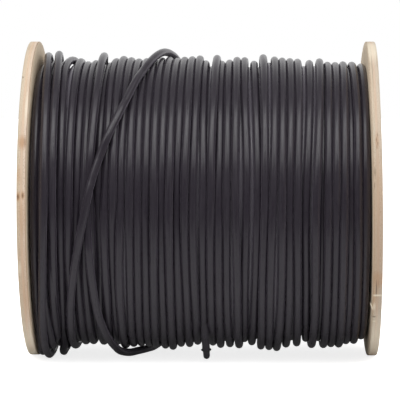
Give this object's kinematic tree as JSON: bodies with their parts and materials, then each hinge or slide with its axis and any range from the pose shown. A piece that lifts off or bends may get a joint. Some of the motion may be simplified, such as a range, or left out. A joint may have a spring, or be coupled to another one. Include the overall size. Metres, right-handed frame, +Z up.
{
  "type": "wooden cable drum",
  "caption": "Small plywood drum wound full with round black cable, lying on its rims, with a fibreboard barrel, an arbor hole and tie bolts.",
  "frame": {"origin": "on the floor under the middle of the drum's whole length, bolt tips to bolt heads", "axes": "+X along the drum's axis towards the flange with the bolt heads, +Z up, -Y towards the side where the loose turn and the cable's end show"},
  "size_m": [0.3184, 0.2798, 0.2797],
  "materials": {
    "plywood": "sawn and lightly sanded birch plywood, bare",
    "fibreboard_tube": "spirally wound brown fibreboard, matt",
    "cable_jacket": "black PVC cable jacket, satin",
    "zinc_plate": "bright zinc plated steel"
  },
  "bodies": {
    "root": {"flange_left": "plywood", "flange_right": "plywood", "barrel": "fibreboard_tube", "cable": "cable_jacket", "tie_bolt_1": "zinc_plate", "tie_bolt_2": "zinc_plate", "tie_bolt_3": "zinc_plate", "tie_bolt_4": "zinc_plate", "washer_1": "zinc_plate", "washer_2": "zinc_plate", "washer_3": "zinc_plate", "washer_4": "zinc_plate", "nut_1": "zinc_plate", "nut_2": "zinc_plate", "nut_3": "zinc_plate", "nut_4": "zinc_plate"}
  },
  "joints": []
}
